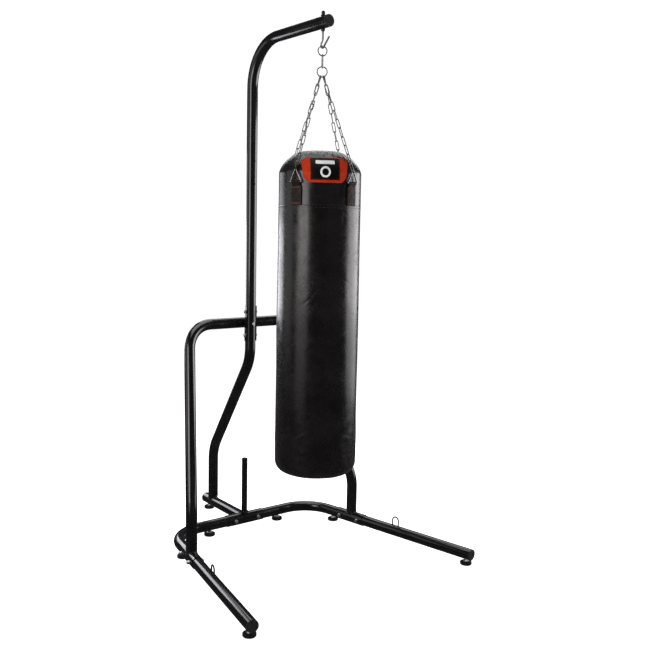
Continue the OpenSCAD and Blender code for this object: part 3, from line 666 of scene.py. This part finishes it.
def patch(name, sides, corner, base_mm, thick, mat, edge=0.0022, puff=0.0, n=(60, 40)):
    """a thin sewn patch that follows the leather; sides lists (height, half width) from the bottom up"""
    z0, z1 = sides[0][0], sides[-1][0]
    zs = spaced(z0, z1, n[1], edge * 1.4)
    us = spaced(-1, 1, n[0], 0.05)
    rows_top, rows_low = [], []
    for z in zs:
        w = float(np.interp(z, [q[0] for q in sides], [q[1] for q in sides]))
        d = min(z - z0, z1 - z)
        if d < corner:
            w -= corner - math.sqrt(max(0, corner ** 2 - (corner - d) ** 2))
        u = us * w
        e = np.minimum(w - np.abs(u), d)
        h = thick * np.sqrt(np.clip(1 - (1 - np.clip(e / edge, 0, 1)) ** 2, 0, 1))
        h = h + puff * smoothstep(edge * 1.5, edge * 6, e)
        p, _ = on_bag(badge_angle(u, z), np.full_like(u, z), 0)
        _, nn = on_bag(badge_angle(u, z), np.full_like(u, z), 0)
        rows_top.append(p + nn * ((base_mm + h) * MM)[:, None])
        rows_low.append(p + nn * (base_mm * MM - 0.0001))
    top, low_ = np.array(rows_top), np.array(rows_low)
    r, c = top.shape[:2]
    verts = list(top.reshape(-1, 3)) + list(low_.reshape(-1, 3))
    faces = grid_faces(r, c) + grid_faces(r, c, start=r * c, flip=True)
    o = r * c
    for j in range(c - 1):
        faces.append((j, o + j, o + j + 1, j + 1))
        k = (r - 1) * c + j
        faces.append((k, k + 1, o + k + 1, o + k))
    for i in range(r - 1):
        k = i * c
        faces.append((k, k + c, o + k + c, o + k))
        k = i * c + c - 1
        faces.append((k, o + k, o + k + c, k + c))
    return fix_normals(new_mesh(name, verts, faces, mat))


RED_SIDES = [(1.487, 0.062), (1.504, 0.078), (1.564, 0.086), (1.577, 0.060)]
BLACK_SIDES = [(1.496, 0.053), (1.574, 0.053)]
badge = patch("badge_red_backing", RED_SIDES, 0.003, 0.15, 1.35, RED, puff=0.25)
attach(badge, "bag"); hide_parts("badge_backing")
panel = patch("badge_black_panel", BLACK_SIDES, 0.003, 1.55, 1.3, BLACK, puff=0.35)
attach(panel, "bag"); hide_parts("badge_panel")

bar = patch("badge_plain_bar", [(1.551, 0.034), (1.564, 0.034)], 0.0016, 3.05, 0.55, WHITE, edge=0.0008, n=(44, 10))
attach(bar, "bag")


def ring_patch(name, zc, r0, r1, base_mm, thick, mat):
    t = np.linspace(0, 2 * math.pi, 73)[:-1]
    prof = [(r0, 0), (r0 + 0.0002, 0.6), (r0 + 0.0008, 1), ((r0 + r1) / 2, 1.05), (r1 - 0.0008, 1), (r1 - 0.0002, 0.6), (r1, 0), (r1, -0.3), (r0, -0.3)]
    rows = []
    for a in t:
        row = []
        for pr, h in prof:
            u, z = pr * math.cos(a), zc + pr * math.sin(a)
            p, nn = on_bag(badge_angle(u, z), z, base_mm + h * thick)
            row.append(p)
        rows.append(row)
    v = np.array(rows).reshape(-1, 3)
    return fix_normals(new_mesh(name, v, grid_faces(len(t), len(prof), wrap_cols=True, wrap_rows=True), mat))


mark = ring_patch("badge_plain_ring", 1.524, 0.012, 0.019, 3.05, 0.55, WHITE)
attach(mark, "bag"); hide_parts("badge_marks")


def border(sides, inset, off):
    """closed stitch line, inset from a patch's edge"""
    zs, ws = [q[0] for q in sides], [q[1] for q in sides]
    q0, q1 = zs[0] + inset, zs[-1] - inset

    def w(z):
        return float(np.interp(z, zs, ws)) - inset * 1.15
    pts = [(u, q0) for u in np.linspace(-w(q0), w(q0), 40)]
    pts += [(w(z), z) for z in np.linspace(q0, q1, 40)]
    pts += [(u, q1) for u in np.linspace(w(q1), -w(q1), 40)]
    pts += [(-w(z), z) for z in np.linspace(q1, q0, 40)]
    pts = np.array(pts)
    return on_bag(badge_angle(pts[:, 0], pts[:, 1]), pts[:, 1], off)


sv, sf_ = stitch_mesh([border(RED_SIDES, 0.0040, 1.62)], pitch=0.0038, rad=0.00042)
st = fix_normals(new_mesh("badge_red_stitches", sv, sf_, THREAD_RED))
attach(st, "bag")
sv, sf_ = stitch_mesh([border(BLACK_SIDES, 0.0034, 3.02)], pitch=0.0036, rad=0.00040)
st = fix_normals(new_mesh("badge_black_stitches", sv, sf_, THREAD_DARK))
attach(st, "bag")

# ------------------------------------------------------------------ hanging straps, folded round the triangle rings
tri_lo, tri_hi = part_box("triangle_rings")
TRI_R, TRI_Z = BAG_R + 0.0052, 1.489
STRAP_LO, HALF_W = 1.406, 0.0225


def strap_path():
    """centreline of the folded strap in (radius, height), in metres, with its thickness"""
    T = 0.0021
    inner, outer = 0.1544 + T / 2, 0.1544 + T * 1.5 + 0.0002
    pts = [(inner, z) for z in np.linspace(STRAP_LO + 0.004, 1.476, 26)]
    loop_r = 0.0037
    for a in np.linspace(180, -48, 26):
        t = math.radians(a)
        pts.append((TRI_R + loop_r * math.cos(t), TRI_Z + loop_r * math.sin(t)))
    a = np.array(pts[-1])
    c = np.array([outer, 1.474])
    for f in (0.25, 0.5, 0.75, 1.0):
        s = f * f * (3 - 2 * f)
        pts.append((a[0] + (c[0] - a[0]) * s ** 0.8, a[1] + (c[1] - a[1]) * f))
    pts += [(outer, z) for z in np.linspace(1.4715, STRAP_LO, 28)]
    return np.array(pts), T


def strap_mesh(deg):
    path, T = strap_path()
    n = len(path)
    t = np.gradient(path, axis=0)
    t /= np.linalg.norm(t, axis=1)[:, None]
    nrm = np.stack([-t[:, 1], t[:, 0]], -1)
    cols = np.linspace(-1, 1, 19)
    ring = [(c, 1) for c in cols] + [(c, -1) for c in cols[::-1]]
    rows = []
    for k in range(n):
        r, z = path[k]
        near = smoothstep(1.466, 1.482, z)
        hw = HALF_W - 0.0042 * near
        row = []
        for c, s in ring:
            edge = 1 - 0.55 * smoothstep(0.86, 1.0, abs(c))
            o = s * T / 2 * edge + 0.00012 * math.sin(c * 9 + k * 0.9)
            pr, pz = r + nrm[k][0] * o, z + nrm[k][1] * o
            w = c * hw
            ang = w / 0.1560
            x1, y1 = pr * math.sin(ang), pr * math.cos(ang)
            x2, y2 = w, pr
            x, y = x1 + (x2 - x1) * near, y1 + (y2 - y1) * near
            row.append((x, y, pz))
        rows.append(row)
    v = np.array(rows)
    a = math.radians(deg)
    ex, ey = np.array([math.cos(a), math.sin(a)]), np.array([math.sin(a), -math.cos(a)])
    w = np.zeros_like(v)
    w[..., 0] = v[..., 0] * ex[0] + v[..., 1] * ey[0]
    w[..., 1] = v[..., 0] * ex[1] + v[..., 1] * ey[1] + HOOK_Y
    w[..., 2] = v[..., 2]
    m = len(ring)
    verts = list(w.reshape(-1, 3))
    faces = grid_faces(n, m, wrap_cols=True)
    faces.append(tuple(range(m)))
    faces.append(tuple((n - 1) * m + j for j in range(m))[::-1])
    return verts, faces


sv, sf_ = join_parts([strap_mesh(a) for a in STRAPS])
straps = fix_normals(new_mesh("strap_loops", sv, sf_, STRAP))
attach(straps, "bag"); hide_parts("hanging_straps")

OUT_R = 0.1544 + 0.0021 * 2 + 0.0002
brown, dark = [], []
for a in STRAPS:
    def sp(u, z):
        u, z = np.broadcast_arrays(np.asarray(u, float), np.asarray(z, float))
        d = away(a + np.degrees(u / 0.1560))
        p = d * (OUT_R + 0.00005)
        p[..., 1] += HOOK_Y
        p[..., 2] = z
        return p, d
    for z in (1.4090, 1.4112, 1.4134, 1.4156):
        brown.append(sp(np.linspace(-0.0195, 0.0195, 20), z))
    for z in (1.4668, 1.4690, 1.4712):
        brown.append(sp(np.linspace(-0.0195, 0.0195, 20), z))
    for s in (-1, 1):
        dark.append(sp(s * 0.0195, np.linspace(1.417, 1.465, 20)))
        dark.append(sp(np.linspace(-0.0185 * s, 0.0185 * s, 20), np.linspace(1.4185, 1.4640, 20)))
sv, sf_ = stitch_mesh(brown, pitch=0.0028, rad=0.00055)
st = fix_normals(new_mesh("strap_bar_stitches", sv, sf_, THREAD_BROWN))
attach(st, "bag")
sv, sf_ = stitch_mesh(dark, pitch=0.0036, rad=0.00045)
st = fix_normals(new_mesh("strap_box_stitches", sv, sf_, THREAD_DARK))
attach(st, "bag")


# ------------------------------------------------------------------ welds on the stand
def weld(pts, rad, closed=True, phase=0.0):
    p = np.array([tuple(q) for q in pts], float)
    d = np.linalg.norm(np.diff(p, axis=0, append=p[:1]), axis=1)
    s = np.cumsum(d)
    rr = [rad * (1 + 0.16 * math.sin(x / 0.0022 + phase) + 0.10 * math.sin(x / 0.0137 + 2 * phase)) for x in s]
    return tube(p, rr, 8, closed=closed)


def saddle(centre, axis_of_big, stick, r_small, r_big, count=120):
    """where a round tube of r_small standing along stick meets one of r_big lying along axis_of_big"""
    e1 = axis_of_big.normalized()
    e3 = stick.normalized()
    e2 = e3.cross(e1)
    out = []
    for k in range(count):
        a = k * 2 * math.pi / count
        x, y = r_small * math.cos(a), r_small * math.sin(a)
        out.append(centre + e1 * x + e2 * y + e3 * math.sqrt(max(r_big ** 2 - y * y, 0)))
    return out


welds = []
for s in (-1, 1):
    c = Vector((s * LEG.x, LEG.y, LEG.z))
    u = Vector((s * ARM_U.x, ARM_U.y, 0))
    welds.append(weld(saddle(c, u, Vector((0, 0, 1)), 0.0229, 0.0251), 0.0021, phase=s))
    lo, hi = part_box("arm_loop_left" if s < 0 else "arm_loop_right")
    mid = Vector(((lo.x + hi.x) / 2, (lo.y + hi.y) / 2, 0.0435))
    for k in (-1, 1):
        q = mid + u * 0.015 * k
        welds.append(weld(saddle(q, u, Vector((0, 0, 1)), 0.0035, 0.0226, 32), 0.0011, phase=k))
welds.append(weld(saddle(Vector((0, CY, 0.0435)), Vector((1, 0, 0)), Vector((0, 1, 0)), 0.0229, 0.0251), 0.0021))
welds.append(weld([(0.0176 * math.cos(t), CY + 0.0176 * math.sin(t), peg_lo.z + 0.0006) for t in np.linspace(0, 2 * math.pi, 90, endpoint=False)], 0.0014))
welds.append(weld([(0.0131 * math.cos(t), CY + 0.0131 * math.sin(t), peg_lo.z + 0.0064) for t in np.linspace(0, 2 * math.pi, 60, endpoint=False)], 0.0013))
foot_y = CY + 0.275
welds.append(weld(saddle(Vector((0, foot_y, 0.0435)), Vector((0, 1, 0)), Vector((0, 0, 1)), 0.0229, 0.0226), 0.0019))
wv, wf = join_parts(welds)
wo = fix_normals(new_mesh("stand_weld_beads", wv, wf, PAINT))
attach(wo, "stand")

# ------------------------------------------------------------------ floor, lights, camera
def stage_material(name, colour, emission):
    m = bpy.data.materials.new(name)
    m.use_nodes = True
    b = next(n for n in m.node_tree.nodes if n.type == "BSDF_PRINCIPLED")
    b.inputs["Base Color"].default_value = (*colour, 1)
    b.inputs["Roughness"].default_value = 0.9
    b.inputs["Specular IOR Level"].default_value = 0.0
    b.inputs["Emission Color"].default_value = (1, 1, 1, 1)
    b.inputs["Emission Strength"].default_value = emission
    return m


floor = new_mesh("floor", [(-40, -40, 0), (40, -40, 0), (40, 40, 0), (-40, 40, 0)], [(0, 1, 2, 3)], stage_material("pale_floor", (0.8, 0.8, 0.8), 0.99), False)
floor.visible_glossy = False
floor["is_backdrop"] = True

dome_v, dome_f = [], []
for i in range(13):
    e = math.radians(-90 + 15 * i)
    for j in range(32):
        a = j * 2 * math.pi / 32
        dome_v.append((60 * math.cos(e) * math.cos(a), 60 * math.cos(e) * math.sin(a), 60 * math.sin(e)))
dome = new_mesh("backdrop", dome_v, grid_faces(13, 32, wrap_cols=True), stage_material("backdrop_white", (0, 0, 0), 1.05))
for flag in ("visible_diffuse", "visible_glossy", "visible_transmission", "visible_volume_scatter", "visible_shadow"):
    setattr(dome, flag, False)
dome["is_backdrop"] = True

world = bpy.data.worlds.new("studio")
world.use_nodes = True
scene.world = world
bg = next(n for n in world.node_tree.nodes if n.type == "BACKGROUND")
bg.inputs["Color"].default_value = (1, 1, 1, 1)
bg.inputs["Strength"].default_value = 0.03

TOWARD = Vector((-0.603, -0.798, 0))   # level direction from the bag to the camera
RIGHT = Vector((0.7923, -0.6101, 0))


def panel_light(name, beta, dist, half_deg, z0, z1, radiance, tilt=0.0, colour=(1, 1, 1)):
    """soft upright panel round the bag: beta degrees to the right of the camera as seen from the bag"""
    b = math.radians(beta)
    d = TOWARD * math.cos(b) + RIGHT * math.sin(b)
    width = 2 * dist * math.tan(math.radians(half_deg))
    data = bpy.data.lights.new(name, "AREA")
    data.shape = "RECTANGLE"
    data.size, data.size_y = width, z1 - z0
    data.energy = radiance * math.pi * width * (z1 - z0)
    data.color = colour
    ob = bpy.data.objects.new(name, data)
    scene.collection.objects.link(ob)
    at = Vector((0, HOOK_Y, 0)) + d * dist
    at.z = (z0 + z1) / 2
    ob.location = at
    look = Vector((0, HOOK_Y, at.z - tilt)) - at
    ob.rotation_mode = "QUATERNION"
    ob.rotation_quaternion = look.to_track_quat("-Z", "Y")
    ob.visible_camera = False
    return ob


panel_light("soft_left_upper", -45, 2.3, 14, 0.95, 2.6, 4.2, colour=(1, 0.93, 0.93))
panel_light("soft_left_lower", -45, 2.3, 14, 0.30, 0.95, 0.7, colour=(1, 0.93, 0.93))
panel_light("soft_left_side", -88, 2.4, 14, 0.60, 2.5, 0.7)
panel_light("rim_left", -132, 2.4, 17, 0.72, 1.36, 4.8, colour=(0.94, 0.94, 1))
panel_light("rim_left_high", -132, 2.4, 15, 1.36, 1.80, 1.7, colour=(0.94, 0.94, 1))
panel_light("rim_right", 113, 2.4, 26, 0.75, 2.1, 4.4, colour=(1, 0.97, 0.98))
panel_light("rim_right_low", 113, 2.4, 24, 0.20, 0.75, 1.9)
panel_light("fill_front_right", 38, 3.4, 18, 0.4, 2.6, 0.05)

top = bpy.data.lights.new("soft_top", "AREA")
top.shape = "RECTANGLE"
top.size, top.size_y = 3.0, 3.0
top.energy = 2.4 * math.pi * 9
to = bpy.data.objects.new("soft_top", top)
scene.collection.objects.link(to)
to.location = (0, 0.2, 4.0)
to.visible_camera = False

back = bpy.data.lights.new("soft_back_top", "AREA")
back.shape = "RECTANGLE"
back.size, back.size_y = 3.2, 1.6
back.energy = 2.2 * math.pi * 3.2 * 1.6
bo = bpy.data.objects.new("soft_back_top", back)
scene.collection.objects.link(bo)
bo.location = Vector((0, HOOK_Y, 3.1)) - TOWARD * 3.0
bo.rotation_mode = "QUATERNION"
bo.rotation_quaternion = (Vector((0, HOOK_Y, 1.5)) - bo.location).to_track_quat("-Z", "Y")
bo.visible_camera = False

cam_data = bpy.data.cameras.new("camera")
cam_data.sensor_fit = "HORIZONTAL"
cam_data.sensor_width = 36
cam_data.lens = 45.957
cam_data.clip_start, cam_data.clip_end = 0.05, 200
cam = bpy.data.objects.new("camera", cam_data)
scene.collection.objects.link(cam)
a, e, roll = math.radians(-37.594), math.radians(6.668), math.radians(1.139)
right = Vector((math.cos(a), math.sin(a), 0))
fwd = Vector((-math.sin(a) * math.cos(e), math.cos(a) * math.cos(e), -math.sin(e)))
up = right.cross(fwd)
R = right * math.cos(roll) + up * math.sin(roll)
U = -right * math.sin(roll) + up * math.cos(roll)
m = Matrix.Identity(4)
for i in range(3):
    m[i][0], m[i][1], m[i][2] = R[i], U[i], -fwd[i]
m[0][3], m[1][3], m[2][3] = -1.8997, -2.7572, 1.3258
cam.matrix_world = m
scene.camera = cam

scene.view_settings.view_transform = "Standard"
scene.view_settings.look = "None"

# ------------------------------------------------------------------ sizes, then the end
lo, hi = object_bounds()
